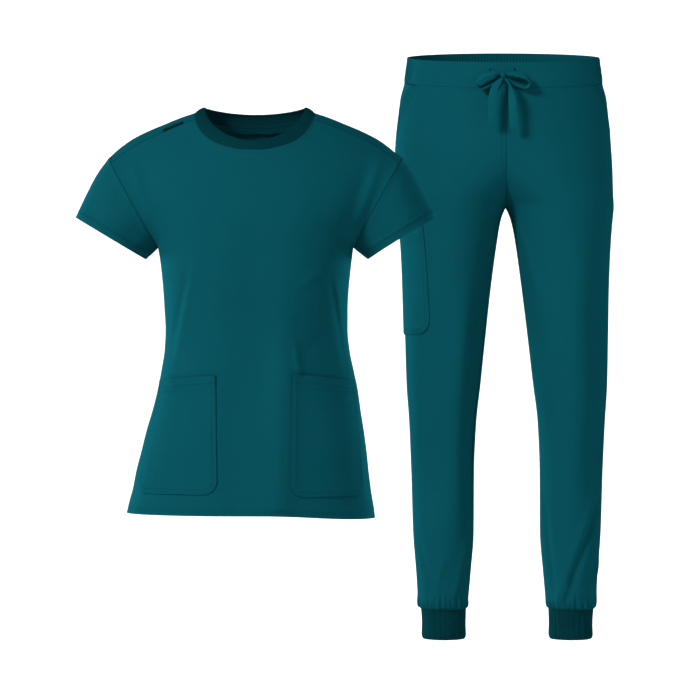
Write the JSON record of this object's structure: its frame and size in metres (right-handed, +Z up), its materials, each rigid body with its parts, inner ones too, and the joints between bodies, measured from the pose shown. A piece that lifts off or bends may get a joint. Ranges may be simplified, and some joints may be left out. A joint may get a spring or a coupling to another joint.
{
  "type": "medical scrubs set",
  "caption": "Teal medical scrubs, filled out with no wearer: a round-neck short-sleeved top with patch pockets beside jogger trousers with a drawstring and ribbed cuffs",
  "frame": {"origin": "the middle of the trousers' waist opening, where the wearer's waist holds them", "axes": "+Z up, -Y the way both fronts face, +X to the wearer's left; the top is at -X and a little in front"},
  "size_m": [0.8629, 0.3678, 0.9645],
  "materials": {
    "twill": "dyed stretch twill, matt with a faint sheen",
    "rib": "dyed rib knit, matt",
    "tape": "dyed woven tape, matt",
    "elastic": "dark woven elastic"
  },
  "bodies": {
    "root": {"top_front": "twill", "top_back": "twill", "sleeve_left": "twill", "sleeve_right": "twill", "neck_tape": "twill", "pocket_left": "twill", "pocket_right": "twill", "leg_front_left": "twill", "leg_front_right": "twill", "leg_back_left": "twill", "leg_back_right": "twill", "hip_pocket_left": "twill", "hip_pocket_right": "twill", "waistband_front": "twill", "waistband_back": "twill", "cargo_pocket": "twill", "neckband": "rib", "cuff_left": "rib", "cuff_right": "rib", "bow_knot": "tape", "bow_loop_left": "tape", "bow_loop_right": "tape", "drawstring_end_left": "tape", "drawstring_end_right": "tape", "drawstring_stub_left": "tape", "drawstring_stub_right": "tape", "badge_loop": "elastic"}
  },
  "joints": []
}
